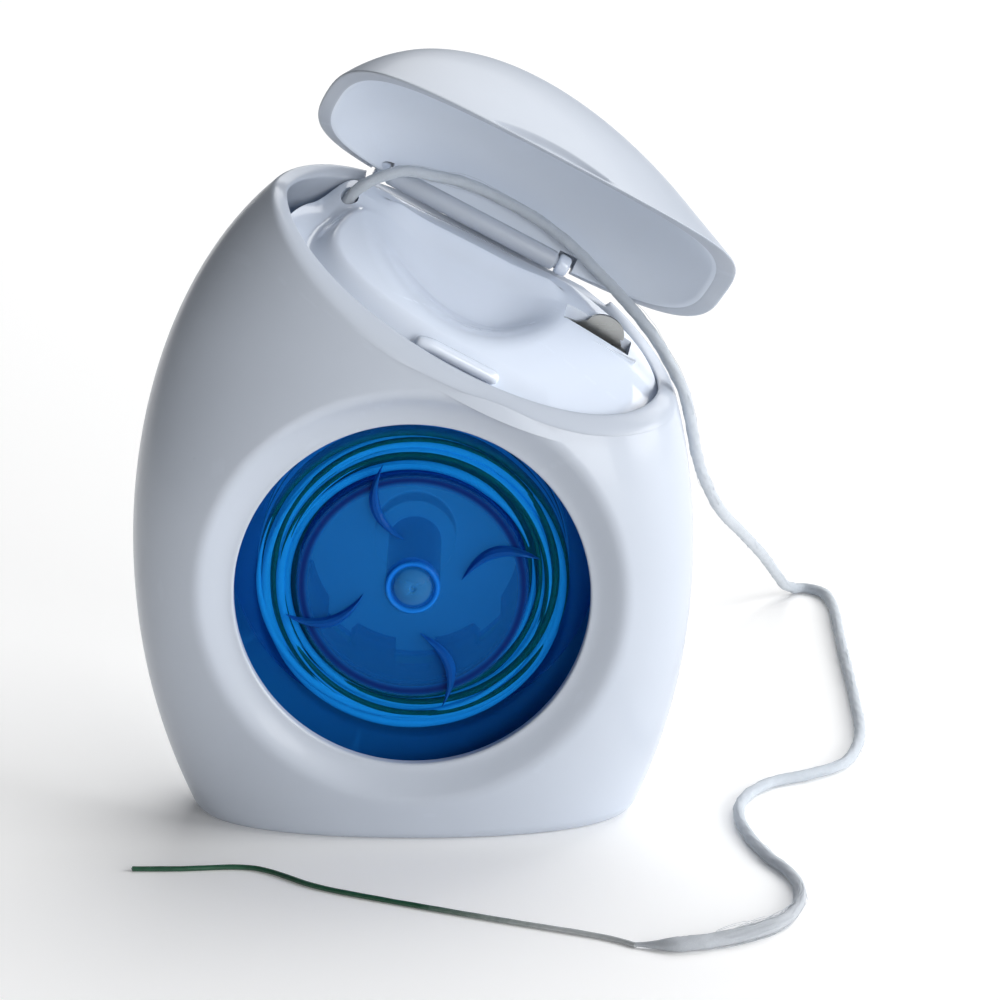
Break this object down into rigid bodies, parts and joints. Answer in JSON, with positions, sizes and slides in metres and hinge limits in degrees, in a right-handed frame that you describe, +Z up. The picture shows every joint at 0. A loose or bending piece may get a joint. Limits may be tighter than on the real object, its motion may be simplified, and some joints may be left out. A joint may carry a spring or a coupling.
{
  "type": "floss dispenser",
  "caption": "Oval upright floss dispenser with a slanted mouth under a hinged lid, a metal cutter, and a round front window onto a clear spool wound with floss.",
  "frame": {"origin": "middle of the flat underside of the foot", "axes": "+Z up, -Y towards the window, +X towards the low end of the mouth"},
  "size_m": [0.068, 0.0956, 0.0702],
  "materials": {
    "shell_white": "glossy moulded white",
    "deck_white": "glossy moulded white",
    "lid_white": "glossy moulded white, satin inside",
    "blade_steel": "stamped sheet",
    "spool_blue": "clear tinted blue",
    "floss_green": "twisted waxed floss",
    "floss_white": "fuzzy spongy filament",
    "threader_green": "stiffened smooth filament"
  },
  "bodies": {
    "case": {"front_shell": "shell_white", "rear_shell": "shell_white", "deck": "deck_white", "cutter_blade": "blade_steel", "floss_lead": "floss_white", "floss_strand": "floss_white", "floss_threader": "threader_green"},
    "lid": {"lid": "lid_white"},
    "spool": {"spool_wheel": "spool_blue", "spool_flange": "spool_blue", "floss_core": "floss_green", "floss_winding": "floss_green"}
  },
  "joints": [
    {"name": "lid_hinge", "type": "hinge", "parent": "case", "child": "lid", "pos_m": [0.0053, 0.0075, 0.05377], "axis": [-0.8788, 0, 0.4772], "range_deg": [-64, 12], "deforming": ["floss_strand"]},
    {"name": "spool_spin", "type": "hinge", "parent": "case", "child": "spool", "pos_m": [0, 0, 0.0233], "axis": [0, 1, 0], "continuous": true}
  ]
}
